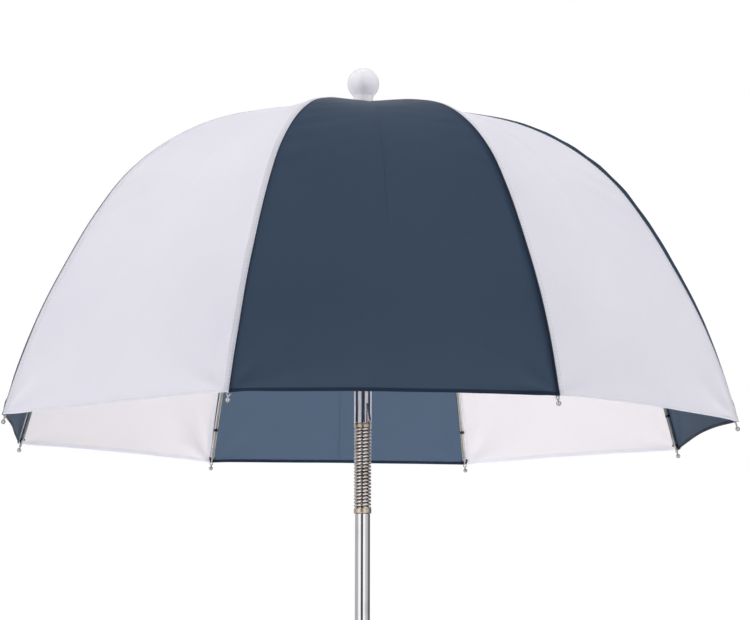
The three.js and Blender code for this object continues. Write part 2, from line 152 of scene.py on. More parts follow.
class Nodes:
    """A short way to write the node tree of a material or a world."""

    def __init__(self, owner):
        owner.use_nodes = True
        self.tree = owner.node_tree

    def feed(self, socket, value):
        """Links a socket to another node's output, or sets a constant on it."""
        if isinstance(value, bpy.types.NodeSocket):
            self.tree.links.new(value, socket)
        else:
            socket.default_value = value

    def add(self, kind, output, inputs=None, **settings):
        """A new shader node's output; inputs gives the value or source of its sockets."""
        node = self.tree.nodes.new("ShaderNode" + kind)
        for key, value in settings.items():
            setattr(node, key, value)
        for key, value in (inputs or {}).items():
            self.feed(node.inputs[key], value)
        return node.outputs[output]

    def principled(self, **values):
        """Sets up the main shader and returns its output."""
        shader = self.tree.nodes["Principled BSDF"]
        for key, value in values.items():
            self.feed(shader.inputs[key.replace("_", " ")], value)
        return shader.outputs[0]

    def surface(self, shader):
        """Puts a shader on the surface of the material, or on the world."""
        output = next(node for node in self.tree.nodes if node.type.startswith("OUTPUT"))
        self.feed(output.inputs["Surface"], shader)

    def place(self, scale=(1, 1, 1), vector=None):
        """Object coordinates, or others, stretched."""
        vector = vector or self.add("TexCoord", "Object")
        return self.add("Mapping", 0, {"Vector": vector, "Scale": scale})

    def noise(self, scale, detail=3, vector=None):
        inputs = {"Scale": scale, "Detail": detail, "Vector": vector or self.place()}
        return self.add("TexNoise", "Fac", inputs)

    def ramp(self, factor, low, high, start=0.0, end=1.0):
        """Two colours, blended over start to end of the factor."""
        share = self.remap(factor, start, end, 0, 1)
        return self.add("Mix", 2, {0: share, 6: low, 7: high}, data_type="RGBA")

    def remap(self, factor, from_low, from_high, to_low, to_high, **settings):
        return self.add("MapRange", "Result", {
            "Value": factor, "From Min": from_low, "From Max": from_high,
            "To Min": to_low, "To Max": to_high,
        }, **settings)

    def times(self, first, second):
        return self.add("Math", 0, {0: first, 1: second}, operation="MULTIPLY")

    def plus(self, first, second):
        return self.add("Math", 0, {0: first, 1: second}, operation="ADD")

    def average(self, first, second, share):
        """The first value's share and the rest of the second."""
        return self.plus(self.times(first, share), self.times(second, 1 - share))

    def mix(self, share, first, second):
        return self.add("MixShader", 0, {0: share, 1: first, 2: second})

    def bump(self, height, distance, strength):
        inputs = {"Height": height, "Distance": distance, "Strength": strength}
        return self.add("Bump", "Normal", inputs)


# ---- materials
MATERIALS = {}


def material_nodes(name):
    """The nodes of a new material. The CAD has taken some names, so it's kept under the one given."""
    MATERIALS[name] = bpy.data.materials.new(name)
    return Nodes(MATERIALS[name])


def cloth_material(name, dark, light, glow, translucency):
    """One face of woven polyester: plain weave, faint slubs, light through the cloth."""
    nodes = material_nodes(name)
    uv = nodes.add("UVMap", "UV", uv_map="cloth")
    thread_pitch = 0.42 * MM
    wave = {"Vector": uv, "Scale": 0.5 / thread_pitch, "Distortion": 0.6,
            "Detail": 1.0, "Detail Scale": 0.4}
    weave = nodes.times(*(nodes.add("TexWave", "Fac", wave, bands_direction=axis) for axis in "XY"))
    slubs = nodes.noise(900, 2, nodes.place((1, 0.06, 1), uv))
    tone = nodes.average(nodes.noise(9, 4), slubs, 0.7)
    colour = nodes.ramp(tone, dark, light, 0.35, 0.65)
    relief = nodes.plus(weave, nodes.times(slubs, 0.5))
    shader = nodes.principled(
        Base_Color=nodes.ramp(nodes.times(weave, 0.18), colour, light),
        Roughness=nodes.remap(slubs, 0.3, 0.7, 0.62, 0.74),
        Specular_IOR_Level=0.08,
        Sheen_Weight=0.2,
        Sheen_Roughness=0.3,
        Normal=nodes.bump(relief, 0.05 * MM, 0.5),
    )
    through = nodes.add("BsdfTranslucent", 0, {"Color": glow})
    nodes.surface(nodes.mix(translucency, shader, through))


def cloth_materials():
    """Each cloth's outer face, inner face and the doubled cloth of seams and hems. The doubled navy is
    drawn darker than the single cloth, as painted shade along its seams and hem.
    """
    navy, navy_glow = (srgb(40, 53, 70), srgb(45, 59, 77)), srgb(176, 191, 208)
    kinds = (
        ("navy_cloth", *navy, navy_glow, 0.34),
        ("navy_inside", *navy, navy_glow, 0.5),
        # doubled navy: the lower glow and translucency hold back light as a second layer does; the
        # darker colour is painted shade
        ("navy_doubled", srgb(36, 47, 64), srgb(42, 54, 73), srgb(140, 156, 176), 0.24),
        ("white_cloth", srgb(235, 235, 248), srgb(241, 241, 252), srgb(252, 250, 250), 0.34),
        ("white_inside", srgb(237, 235, 239), srgb(243, 241, 244), srgb(252, 249, 246), 0.5),
        ("white_doubled", srgb(237, 237, 246), srgb(243, 243, 250), srgb(251, 250, 252), 0.42),
    )
    for kind in kinds:
        cloth_material(*kind)


def thread_material(name, colour):
    """Twisted yarn."""
    nodes = material_nodes(name)
    ply = nodes.noise(5200, 2, nodes.place((1, 1, 0.5)))
    nodes.surface(nodes.principled(
        Base_Color=nodes.ramp(ply, darker(colour, 0.72), colour, 0.35, 0.65),
        Roughness=0.6,
        Normal=nodes.bump(ply, 0.06 * MM, 0.6),
    ))


def metal_material(name, base, stain, roughness, grain=(1, 1, 1), mottling=60.0, stain_reach=0.4):
    """Bare or plated metal: mottled tone, fine drawn lines and faint wear."""
    nodes = material_nodes(name)
    mottle = nodes.noise(mottling, 5)
    lines = nodes.noise(900, 3, nodes.place(grain))
    wear = nodes.average(mottle, lines, 0.5)
    nodes.surface(nodes.principled(
        Base_Color=nodes.ramp(mottle, stain, base, 0.5 - stain_reach, 0.5),
        Metallic=1.0,
        Roughness=nodes.remap(wear, 0.35, 0.65, roughness * 0.75, roughness * 1.35),
        Normal=nodes.bump(lines, 0.02 * MM, 0.35),
    ))


def plastic_material(name, colour, roughness, pebble, coat=0.0, depth=0.0):
    """Moulded plastic with a fine sparked or polished surface."""
    nodes = material_nodes(name)
    broad = nodes.noise(45, 3)
    nodes.surface(nodes.principled(
        Base_Color=nodes.ramp(broad, darker(colour, 0.96), colour, 0.3, 0.7),
        Roughness=nodes.remap(broad, 0.3, 0.7, roughness * 0.85, roughness * 1.2),
        Coat_Weight=coat,
        Coat_Roughness=0.05,
        Subsurface_Weight=0.6 if depth else 0.0,
        Subsurface_Radius=(1.0, 1.0, 1.0),
        Subsurface_Scale=depth,
        Normal=nodes.bump(nodes.noise(2600, 2), pebble, 0.5),
    ))


def floor_material():
    """Pale and matt; further out the camera sees it melt into the surround."""
    nodes = material_nodes("floor")
    solid = nodes.principled(
        Base_Color=nodes.ramp(nodes.noise(3, 2), srgb(236, 236, 238), srgb(242, 242, 243), 0.3, 0.7),
        Roughness=0.7,
    )
    away = nodes.add("VectorMath", "Value", {0: nodes.place()}, operation="LENGTH")
    fade = nodes.remap(away, 0, 0.9, 0.55, 1, interpolation_type="SMOOTHSTEP")
    seen = nodes.add("LightPath", "Is Camera Ray")
    clear = nodes.add("BsdfTransparent", 0)
    nodes.surface(nodes.mix(nodes.times(fade, seen), solid, clear))


def make_materials():
    cloth_materials()
    thread_material("navy_thread", srgb(50, 62, 82))
    thread_material("white_thread", srgb(225, 226, 232))
    thread_material("black_thread", srgb(28, 28, 32))
    metal_material("chrome", srgb(216, 216, 218), srgb(196, 196, 200), 0.1, (1, 1, 0.05))
    metal_material("galvanised", srgb(228, 225, 220), srgb(186, 182, 176), 0.36, (1, 1, 0.3), 220.0)
    metal_material("nickel", srgb(206, 206, 207), srgb(160, 158, 158), 0.24, mottling=500.0)
    metal_material("spring_wire", srgb(216, 210, 205), srgb(186, 172, 160), 0.14,
                   mottling=90.0, stain_reach=0.2)
    metal_material("brass", srgb(214, 200, 178), srgb(168, 148, 120), 0.3, (1, 1, 0.2), 240.0)
    plastic_material("gloss_white", srgb(246, 244, 255), 0.16, 0.004 * MM, coat=0.6, depth=20 * MM)
    plastic_material("black_plastic", srgb(34, 35, 39), 0.42, 0.02 * MM)
    # a dark brown tube inside the spring, seen in the gaps between its coils
    plastic_material("coil_gap_brown", srgb(62, 50, 42), 0.6, 0.02 * MM)
    floor_material()


make_materials()


# ---- mesh helpers
def link(name, data):
    """A new object in the scene."""
    item = bpy.data.objects.new(name, data)
    bpy.context.scene.collection.objects.link(item)
    return item


def arc(centre, radius, start, end, steps):
    """Points on a round stretch, angles in degrees."""
    angles = np.radians(np.linspace(start, end, steps + 1))
    return [(centre[0] + radius * cos(a), centre[1] + radius * sin(a)) for a in angles]


def circle(radius, count):
    """Points round a circle."""
    return arc((0, 0), radius, 0, 360, count)[:-1]


def tube_faces(rows, count, closed=False):
    """Faces between rows of count points each; closed joins the last row to the first."""
    faces = []
    for row in range(rows if closed else rows - 1):
        low, high = row * count, (row + 1) % rows * count
        for corner in range(count):
            after = (corner + 1) % count
            faces.append([low + corner, low + after, high + after, high + corner])
    return faces


class Builder:
    """Collects closed shells into one mesh, in the current material and placed by one matrix."""

    def __init__(self, material, place=IDENTITY):
        self.material, self.place = material, place
        self.vertices, self.faces, self.indices, self.materials = [], [], [], []

    def slot_of(self, material):
        if material not in self.materials:
            self.materials.append(material)
        return self.materials.index(material)

    def shell(self, vertices, faces, within=IDENTITY):
        base = len(self.vertices)
        place = self.place @ within
        self.vertices += [place @ Vector(v) for v in vertices]
        self.faces += [[base + index for index in face] for face in faces]
        self.indices += [self.slot_of(self.material)] * len(faces)
        return self

    def lathe(self, profile, segments=72, within=IDENTITY):
        """A body turned about Z from (radius, z) points, from axis to axis, or closed on itself."""
        closed = profile[0] == profile[-1]
        rows = profile[:-1] if closed else profile
        vertices, ids = [], []
        for radius, z in rows:
            if radius == 0:
                ids.append([len(vertices)] * segments)
                vertices.append((0, 0, z))
            else:
                ids.append(list(range(len(vertices), len(vertices) + segments)))
                vertices += [(x, y, z) for x, y in circle(radius, segments)]
        faces = []
        for low, high in zip(ids, ids[1:] + ids[:1] if closed else ids[1:]):
            for step in range(segments):
                after = (step + 1) % segments
                face = list(dict.fromkeys([low[step], low[after], high[after], high[step]]))
                if len(face) > 2:
                    faces.append(face)
        return self.shell(vertices, faces, within)

    def sweep(self, centres, sides, ups, section):
        """A closed section of (side, up) points carried along centres."""
        vertices = []
        for centre, side, up in zip(centres, sides, ups):
            vertices += [Vector(centre) + Vector(side) * x + Vector(up) * y for x, y in section]
        count = len(section)
        ends = [list(range(count))[::-1], list(range(len(vertices) - count, len(vertices)))]
        return self.shell(vertices, tube_faces(len(centres), count) + ends)

    def loop(self, points, radius, sides=6, within=IDENTITY):
        """A closed round cord through a ring of points that lie in one plane."""
        points = [Vector(p) for p in points]
        normal = (points[1] - points[0]).cross(points[2] - points[1]).normalized()
        vertices = []
        for before, point, after in zip(points[-1:] + points, points, points[1:] + points[:1]):
            up = (after - before).normalized().cross(normal)
            vertices += [point + normal * x + up * y for x, y in circle(radius, sides)]
        return self.shell(vertices, tube_faces(len(points), sides, closed=True), within)

    def strand(self, centres, side, up, section):
        """A sweep that doesn't twist."""
        return self.sweep(centres, [side] * len(centres), [up] * len(centres), section)

    def plate(self, outline, thickness=PLATE, centre=0.0):
        """A flat plate in the XZ plane from (x, z) points, centred on y = centre."""
        ends = [(0, centre - thickness / 2, 0), (0, centre + thickness / 2, 0)]
        return self.strand(ends, (1, 0, 0), (0, 0, 1), outline)

    def box(self, low, high):
        outline = [(low[0], low[2]), (high[0], low[2]), (high[0], high[2]), (low[0], high[2])]
        return self.plate(outline, high[1] - low[1], (low[1] + high[1]) / 2)

    def done(self, name, crease=None):
        """The piece, with its faces turned outward; smooth but for creases above an angle."""
        mesh = bpy.data.meshes.new(name)
        mesh.from_pydata([tuple(vertex * MM) for vertex in self.vertices], [], self.faces)
        for material in self.materials:
            mesh.materials.append(MATERIALS[material])
        mesh.polygons.foreach_set("material_index", self.indices)
        edit = bmesh.new()
        edit.from_mesh(mesh)
        bmesh.ops.recalc_face_normals(edit, faces=edit.faces)
        edit.to_mesh(mesh)
        edit.free()
        piece = link(name, mesh)
        if crease:
            shade(piece, crease)
        return piece


def shade(piece, crease):
    """Smooth faces, with sharp edges where they meet at more than an angle in degrees."""
    piece.data.polygons.foreach_set("use_smooth", [True] * len(piece.data.polygons))
    piece.data.set_sharp_from_angle(angle=radians(crease))


def keep_flats(piece):
    """Large faces keep their own normals, so a straight wall reflects straight up to its edge."""
    piece.modifiers.new("normals", "WEIGHTED_NORMAL").keep_sharp = True


def bevel(piece, width, segments=2, angle=35):
    modifier = piece.modifiers.new("edges", "BEVEL")
    modifier.width = width * MM
    modifier.segments = segments
    modifier.limit_method = "ANGLE"
    modifier.angle_limit = radians(angle)
    modifier.harden_normals = False
    keep_flats(piece)


def cut(piece, cutters):
    """Takes the cutters out of a piece, drops them and shades the walls that are left."""
    for cutter in cutters:
        modifier = piece.modifiers.new("cut", "BOOLEAN")
        modifier.operation = "DIFFERENCE"
        modifier.solver = "EXACT"
        modifier.object = cutter
    bpy.context.view_layer.update()
    graph = bpy.context.evaluated_depsgraph_get()
    mesh = bpy.data.meshes.new_from_object(piece.evaluated_get(graph), depsgraph=graph)
    piece.modifiers.clear()
    piece.data = mesh
    for cutter in cutters:
        bpy.data.objects.remove(cutter)
    shade(piece, 35)
    keep_flats(piece)


def box_cutter(low, high, azimuth):
    turn = Matrix.Rotation(azimuth, 4, "Z")
    return Builder("black_plastic", turn).box(low, high).done("cutter")


def fit(piece, body, slot, *replaced):
    """The piece rides a body and stands in for CAD nodes; slot is not used."""
    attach(piece, body)
    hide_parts(*replaced)


# ---- the line of the cloth over a rib
def cad_rib_edge():
    """(radius, height) of the outer cloth at a rib, crown first, from the CAD half panel."""
    turn = arm_turn(1).inverted()
    near_rib = 0.5 * MM
    dome_middle = HINGE_Z - 260
    edge = set()
    for vertex in frame["nodes"]["panel_half_1_left"].data.vertices:
        point = turn @ vertex.co
        if point.y < near_rib:
            edge.add((round(point.x, 6) / MM, round(point.z, 6) / MM))
    by_angle = sorted(edge, key=lambda p: -atan2(p[1] - dome_middle, p[0]))
    pairs = zip(by_angle[0::2], by_angle[1::2])
    return [max(pair, key=lambda p: hypot(p[0], p[1] - dome_middle)) for pair in pairs]


def spline(points, steps):
    """A Catmull-Rom curve through the points."""
    points = np.array(points)
    padded = np.vstack([2 * points[0] - points[1], points, 2 * points[-1] - points[-2]])
    t = np.linspace(0, 1, steps, endpoint=False)[:, None]
    curve = []
    for a, b, c, d in zip(padded, padded[1:], padded[2:], padded[3:]):
        curve.append(0.5 * (2 * b + (c - a) * t + (2 * a - 5 * b + 4 * c - d) * t ** 2
                            + (3 * b - a - 3 * c + d) * t ** 3))
    return np.vstack([*curve, points[-1:]])


class ClothLine:
    """The cloth's line over a rib, by distance from the crown."""

    def __init__(self):
        beyond = 20                   # the line runs on past the hem, to the rib's tip
        edge = spline(cad_rib_edge(), 40)
        heading = edge[-1] - edge[-2]
        edge = np.vstack([edge, edge[-1] + heading / np.linalg.norm(heading) * beyond])
        self.points = edge
        self.arcs = np.concatenate([[0], np.cumsum(np.linalg.norm(np.diff(edge, axis=0), axis=1))])
        self.hem = self.arcs[-1] - beyond
        slopes = np.gradient(edge, self.arcs, axis=0)
        self.slopes = slopes / np.linalg.norm(slopes, axis=1)[:, None]

    def at(self, arc):
        """Radius, height and unit heading at a distance along the line."""
        radius, z = (np.interp(arc, self.arcs, self.points[:, axis]) for axis in (0, 1))
        along = [np.interp(arc, self.arcs, self.slopes[:, axis]) for axis in (0, 1)]
        return radius, z, along[0], along[1]

    def arc_at_radius(self, radius):
        return float(np.interp(radius, self.points[:, 0], self.arcs))


LINE = ClothLine()
RIB_END = LINE.hem - 4                # where the rib channel stops


# ---- canopy
def panel_colour(panel):
    return "navy" if panel % 2 == 0 else "white"


def smooth(value):
    """Eases from 0 to 1."""
    value = np.clip(value, 0, 1)
    return value * value * (3 - 2 * value)


def panel_dip(share):
    """0 at a panel's ribs and 1 in its middle."""
    return np.sin((1 - np.abs(2 * share - 1)) * pi / 2)


def half_width(arc):
    """Half a panel's width at a distance from the crown."""
    return LINE.at(arc)[0] * sin(RIB_PITCH / 2)


def hem_arc(panel, share):
    """Length of a panel from crown to hem at a share across it."""
    return LINE.hem - HEM_ARCHES[panel - 1] * panel_dip(share)


def seam_line(first_half, arc):
    """Distance from the rib's middle line to the edge of a half panel; it narrows at the hem."""
    shift = SEAM_SHIFT * (1 - 0.6 * smooth((arc / LINE.hem - 0.85) / 0.15))
    return shift if first_half else -shift


def to_rib(share, arc):
    """Distance along the cloth from the nearer rib's middle line."""
    return (0.5 - np.abs(share - 0.5)) * 2 * half_width(arc)


def wrinkles(panel, share, arc):
    """How far the cloth stands out from its smooth shape."""
    from_rib = to_rib(share, arc)
    side = np.where(share < 0.5, 0.0, 1.0)
    clear_of_rib = smooth((from_rib - 2.2) / 12)
    down = arc / LINE.hem
    from_hem = hem_arc(panel, share) - arc

    # a faint pressed fold down the middle of the panel
    from_middle = half_width(arc) - from_rib
    crease = -0.9 * np.exp(-from_middle / 3.5) * smooth(down * 6) * smooth(1.6 - 2 * down)

    # rays out of the two corners where the cloth is tied to the rib tips
    to_corner = np.hypot(from_rib, from_hem)
    turn = np.arctan2(from_rib, np.maximum(from_hem, 0) + 1e-9)
    rays = np.sin(7 * turn + 1.9 * panel + 2.3 * side)
    pucker = 2.2 * np.exp(-to_corner / 38) * smooth(to_corner / 18) * rays

    # short slanting drags beside the ribs, deepest half way down
    rake = arc + 0.7 * from_rib
    bunch = np.exp(-((down - 0.48 - 0.03 * np.sin(2 * panel + side)) / 0.13) ** 2)
    waves = np.sin(rake / 4.0 + 1.3 * np.sin(rake / 31 + panel) + side)
    drag = (0.12 + 0.95 * bunch) * np.exp(-from_rib / 30) * waves

    swell = 0.8 * np.sin(arc / 52 + 1.1 * panel) * smooth(from_rib / 60)
    ripple = 0.2 * np.sin(share * 17 + arc / 44 + 2.1 * panel) * down
    return crease + (pucker + drag + swell + ripple) * clear_of_rib


def slack(panel, share, arc):
    """How far loose cloth beside a rib rolls up over it."""
    if panel not in SLACK:
        return np.zeros_like(share)
    first_rib, middle, reach, height = SLACK[panel]
    half = half_width(arc)
    from_rib = share * 2 * half if first_rib else (1 - share) * 2 * half
    roll = smooth(from_rib / 8) * np.exp(-from_rib / 40) * smooth((half - from_rib) / half)
    fade = np.exp(-np.abs((arc / LINE.hem - middle) / reach) ** 3)
    return np.where(from_rib > 0, height * roll, 0) * fade


def cloth_frame(panel, share, arc):
    """Outer cloth points and outward directions, for a panel whose first rib lies on +X."""
    radius, z, along_r, along_z = LINE.at(arc)
    x = radius * (1 - (1 - cos(RIB_PITCH)) * share)
    y = radius * sin(RIB_PITCH) * share
    azimuth = np.arctan2(y, x)
    outward = np.stack([-along_z * np.cos(azimuth), -along_z * np.sin(azimuth), along_r], -1)
    sag = CLOTH_SAG * panel_dip(share) * np.sin(np.pi * arc / LINE.hem)
    out = wrinkles(panel, share, arc) - sag
    from_rib = to_rib(share, arc)
    narrow = np.minimum(1, radius / 60)
    if panel_colour(panel) == "navy":
        out = out - SEAM_TUCK * narrow * np.exp(-((np.abs(from_rib) - 4) / 1.7) ** 2)
    round_off = np.sqrt(from_rib ** 2 + (CREST_ROUND * narrow) ** 2) - np.abs(from_rib)
    out = out - round_off * tan(RIB_PITCH / 2)
    return np.stack([x, y, z], -1) + outward * out[..., None], outward


def mirror(azimuth):
    """Reflection in the upright plane at an azimuth."""
    across, along = sin(2 * azimuth), cos(2 * azimuth)
    return np.array([[along, across, 0], [across, -along, 0], [0, 0, 1]])


def cloth_point(panel, share, arc):
    """The same, also for shares that reach past a rib: there the neighbour's face goes on."""
    inside = np.where(share < 0, -share, np.where(share > 1, 2 - share, share))
    point, outward = cloth_frame(panel, inside, arc)
    point = point + outward * slack(panel, share, arc)[..., None]
    before, beyond = (share < 0)[..., None], (share > 1)[..., None]
    return [np.where(before, rows @ mirror(0), np.where(beyond, rows @ mirror(RIB_PITCH), rows))
            for rows in (point, outward)]


def cloth_grid(panel, first_half):
    """Shares and arcs of half a panel's grid: rows from crown to hem, columns from seam to middle."""
    edge = 0.25
    least = LINE.hem - max(HEM_ARCHES)
    bands = np.array([HEM_WIDTH + edge, HEM_WIDTH - edge, 0.4, 0.0])
    down = np.linspace(0, 1, CLOTH_ALONG - 3)
    rows = np.concatenate([(least - bands[0]) * (1.35 * down - 0.35 * down ** 3), least - bands[1:]])
    half = half_width(rows)
    narrow = np.minimum(1, half / (3 * SEAM_WIDTH))
    steps = np.array([0, 0.9, 1.8, 2.7, 3.6, SEAM_WIDTH - edge, SEAM_WIDTH + edge])
    near = (seam_line(first_half, rows)[:, None] + steps[None, :]) * narrow[:, None]
    across = np.linspace(0, 1, CLOTH_ACROSS - len(steps) + 2)[None, 1:] ** 1.35
    far = near[:, -1:] + (half[:, None] - near[:, -1:]) * across
    share = np.concatenate([near, far], 1) / (2 * half[:, None])
    if not first_half:
        share = 1 - share
    stretch = hem_arc(panel, np.clip(share, 0, 1)) / least
    return share, rows[:, None] * stretch


def cloth_faces(rows, columns, doubled_rows, doubled_columns):
    """Faces of a closed sheet and their materials: 0 outside, 1 inside, 2 doubled cloth."""
    outside = np.arange(rows * columns).reshape(rows, columns)
    layer = outside.size
    faces, slots = [], []
    for row in range(rows - 1):
        for column in range(columns - 1):
            (a, b), (d, c) = outside[row:row + 2, column:column + 2].tolist()
            faces += [[a, d, c, b], [a + layer, b + layer, c + layer, d + layer]]
            doubled = row >= doubled_rows or column < doubled_columns
            slots += [2, 2] if doubled else [0, 1]
    rim = np.concatenate([outside[0], outside[1:, -1], outside[-1, -2::-1], outside[-2:0:-1, 0]])
    for here, after in zip(rim.tolist(), np.roll(rim, -1).tolist()):
        faces.append([here, after, after + layer, here + layer])
        slots.append(2)
    return faces, slots


def cloth_half(number, side):
    """Half a cloth panel with its turned hem, felled seam and stitches, as one closed sheet."""
    first_half = side == "left"
    panel = number if first_half else (number - 2) % RIB_COUNT + 1
    colour = panel_colour(panel)
    share, arc = cloth_grid(panel, first_half)
    points, outward = cloth_point(panel, share, arc)

    rows, columns = share.shape
    # beside its second rib the navy is doubled three columns wide, beside its first only one; the wider
    # darker strip is painted shade along that seam
    navy_shade_columns = 1 if first_half else 3
    doubled_columns = 5 if colour == "white" else navy_shade_columns
    doubled_rows = rows - 4
    seam = (np.arange(columns)[None, :] <= doubled_columns) & (colour == "white")
    hem = np.arange(rows)[:, None] > doubled_rows
    outer = points + outward * np.where(seam & ~hem, SEAM_RELIEF, 0.0)[..., None]
    inner = points - outward * np.where(hem, CLOTH_THICKNESS + HEM_RELIEF, CLOTH_THICKNESS)[..., None]

    builder = Builder(f"{colour}_thread", arm_turn(panel))
    for face in ("cloth", "inside", "doubled"):
        builder.slot_of(f"{colour}_{face}")
    vertices = np.concatenate([outer.reshape(-1, 3), inner.reshape(-1, 3)])
    builder.vertices = [builder.place @ Vector(v) for v in vertices]
    builder.faces, builder.indices = cloth_faces(rows, columns, doubled_rows, doubled_columns)
    stitch_rows(builder, panel, first_half)
    piece = builder.done(f"cloth_{number}_{side}", 50)
    add_cloth_uv(piece, share, arc)
    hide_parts(f"panel_half_{number}_{side}")
    fold_with_arm(piece)


def add_cloth_uv(piece, share, arc):
    """Metric coordinates on the cloth, for its weave."""
    width = 2 * half_width(arc)
    grid = np.stack([share * width, arc], -1).reshape(-1, 2) * MM
    layer = piece.data.uv_layers.new(name="cloth")
    count = len(grid)
    for loop, data in zip(piece.data.loops, layer.data):
        if loop.vertex_index < 2 * count:
            data.uv = grid[loop.vertex_index % count]


def stitch_rows(builder, panel, first_half):
    """Lockstitches down the felled seam of a white panel and along the turned hem."""
    inset = 0.9
    routes = []
    if panel_colour(panel) == "white":
        arcs = np.arange(60, LINE.hem - HEM_WIDTH, STITCH_PITCH)
        after = arcs + STITCH_LENGTH
        for from_seam in (1.0, SEAM_WIDTH - inset):
            shares = [(seam_line(first_half, a) + from_seam) / (2 * half_width(a))
                      for a in (arcs, after)]
            routes.append((shares, (arcs, after), SEAM_RELIEF))
    first = seam_line(first_half, LINE.hem) + 2
    across = np.arange(first, half_width(LINE.hem) - STITCH_LENGTH, STITCH_PITCH)
    width = 2 * half_width(LINE.hem - HEM_WIDTH)
    shares = [across / width, (across + STITCH_LENGTH) / width]
    arcs = [hem_arc(panel, np.clip(share, 0, 1)) - HEM_WIDTH + inset for share in shares]
    routes.append((shares, arcs, 0.0))
    for shares, arcs, relief in routes:
        if not first_half:
            shares = [1 - share for share in shares]
        (low, up), (high, _) = (cloth_point(panel, share, arc) for share, arc in zip(shares, arcs))
        lift = up * (relief + STITCH_RADIUS / 2)
        for start, end, out in zip(low + lift, high + lift, up):
            stitch(builder, Vector(start), Vector(end), Vector(out))


def stitch(builder, start, end, up):
    """A short strand whose ends dip into the cloth."""
    side = (end - start).cross(up).normalized()
    dip = up * STITCH_RADIUS
    centres = [start - dip, start.lerp(end, 0.5), end - dip]
    builder.strand(centres, side, up, circle(STITCH_RADIUS, 4))


def fold_with_arm(piece):
    """Writes the piece's placement into its mesh."""
    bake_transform(piece)


def add_canopy():
    for number in ARMS:
        for side in ("left", "right"):
            cloth_half(number, side)


# ---- arms
def under_line(arc, depth):
    """(x, z) a given depth under the cloth's line."""
    radius, z, along_r, along_z = LINE.at(arc)
    return float(radius + along_z * depth), float(z - along_r * depth)


def channel_section(width, height, wall, top):
    """A U with rounded outer corners that opens downward; top is its outer face."""
    half, turn = width / 2, 0.7
    outer = arc((half - turn, top - turn), turn, 0, 90, 3)
    outer += arc((turn - half, top - turn), turn, 90, 180, 3)
    inner = [(wall - half, top - height), (wall - half, top - wall),
             (half - wall, top - wall), (half - wall, top - height)]
    return [(half, top - height), *outer, (-half, top - height), *inner]


def path_frames(arcs):
    """Centres, sides and ups of a sweep along the cloth's line, in a rib's plane."""
    centres, ups = [], []
    for value in arcs:
        radius, z, along_r, along_z = LINE.at(value)
        centres.append((float(radius), 0, float(z)))
        ups.append((float(-along_z), 0, float(along_r)))
    return centres, [(0, -1, 0)] * len(centres), ups


def add_rib(number):
    """A channel under the cloth, a tongue on the crown's ring and a lug for the stretcher."""
    path = path_frames(np.linspace(LINE.arc_at_radius(17), RIB_END, 70))
    section = channel_section(RIB_WIDTH, RIB_HEIGHT, RIB_WALL, -RIB_DEPTH)
    builder = Builder("galvanised", arm_turn(number)).sweep(*path, section)

    web = RIB_DEPTH + RIB_WALL / 2
    root_start, root_end = (under_line(LINE.arc_at_radius(radius), web) for radius in (17.5, 27))
    heel, toe = under_line(LINE.arc_at_radius(28.5), web + 1.6), (HINGE_RADIUS + 12, HINGE_Z - 0.6)
    eye = arc((HINGE_RADIUS, HINGE_Z), PLATE_END, 270, 130, 8)
    builder.plate([root_start, root_end, heel, toe, *eye])

    lug_radius = 2.4
    foot = Vector(under_line(LINE.arc_at_radius(LUG_RADIUS + 2.6), web))
    lug = Vector((LUG_RADIUS, LUG_Z))
    down = (lug - foot).normalized()
    across = Vector((-down.y, down.x)) * lug_radius
    angle = degrees(atan2(down.y, down.x))
    end = arc(lug, lug_radius, angle + 90, angle - 90, 8)
    builder.plate([foot + across, *end, foot - across])
    piece = builder.done(f"rib_channel_{number}", 40)
    bevel(piece, 0.12, 1, 50)
    fit(piece, f"rib_{number}", "galvanised_steel", f"rib_{number}")


def add_ties(number):
    """Black thread that holds the cloth to the rib: five turns at each tie."""
    builder = Builder("black_thread", arm_turn(number))
    bend = 0.8
    half = RIB_WIDTH / 2 + THREAD_RADIUS - bend
    high = THREAD_RADIUS - RIB_DEPTH - bend
    low = bend - RIB_DEPTH - RIB_HEIGHT - THREAD_RADIUS
    corners = ((half, low, -90), (half, high, 0), (-half, high, 90), (-half, low, 180))
    ring = [point for x, y, start in corners for point in arc((x, y), bend, start, start + 90, 3)]
    for share in (0.3, 0.52, 0.74, 0.93):
        for wrap in (-2, -1, 0, 1, 2):
            centres, _, ups = path_frames([share * LINE.hem + wrap * 2.2 * THREAD_RADIUS])
            centre, up = Vector(centres[0]), Vector(ups[0])
            points = [centre + Vector((0, x, 0)) + up * y for x, y in ring]
            builder.loop(points, THREAD_RADIUS)
    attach(builder.done(f"rib_ties_{number}", 180), f"rib_{number}")


def tip_frame(number):
    """At the bead: X out of the cloth, Y across the rib and Z on along it."""
    radius, z, along_r, along_z = (float(v) for v in LINE.at(LINE.hem + 4.8))
    depth = 3.2
    frame_of = Matrix((
        (-along_z, 0, along_r, radius + along_z * depth),
        (0, -1, 0, 0),
        (along_r, 0, along_z, z - along_r * depth),
        (0, 0, 0, 1),
    ))
    return arm_turn(number) @ frame_of


def add_tip(number):
    """Metal end piece: a stem in the channel, a sewing eyelet and a bead."""
    bead = 1.8
    eye, eye_wire, eye_z = 1.25, 0.5, -4.4
    place = tip_frame(number)
    stem = [(0, -18), (0.7, -17.8), (0.8, -6.6), (0.65, -6.0), (0, -5.8)]
    neck = [(0, -3.1), (0.6, -3.0), (0.8, -2.6), (0.6, -2.1), (0.75, -1.6)]
    ball = arc((0, 0), bead, -64, 79, 13)
    builder = Builder("nickel", place).lathe(stem, 24)
    builder.lathe([*neck, *ball, (0, bead)], 32)
    ring = [(0, y, eye_z + z) for z, y in circle(eye, 28)]
    builder.loop(ring, eye_wire, 10)
    piece = builder.done(f"rib_bead_{number}", 40)
    fit(piece, f"rib_{number}", "galvanised_steel", f"rib_tip_{number}")
    add_corner_thread(number, place, eye_z)


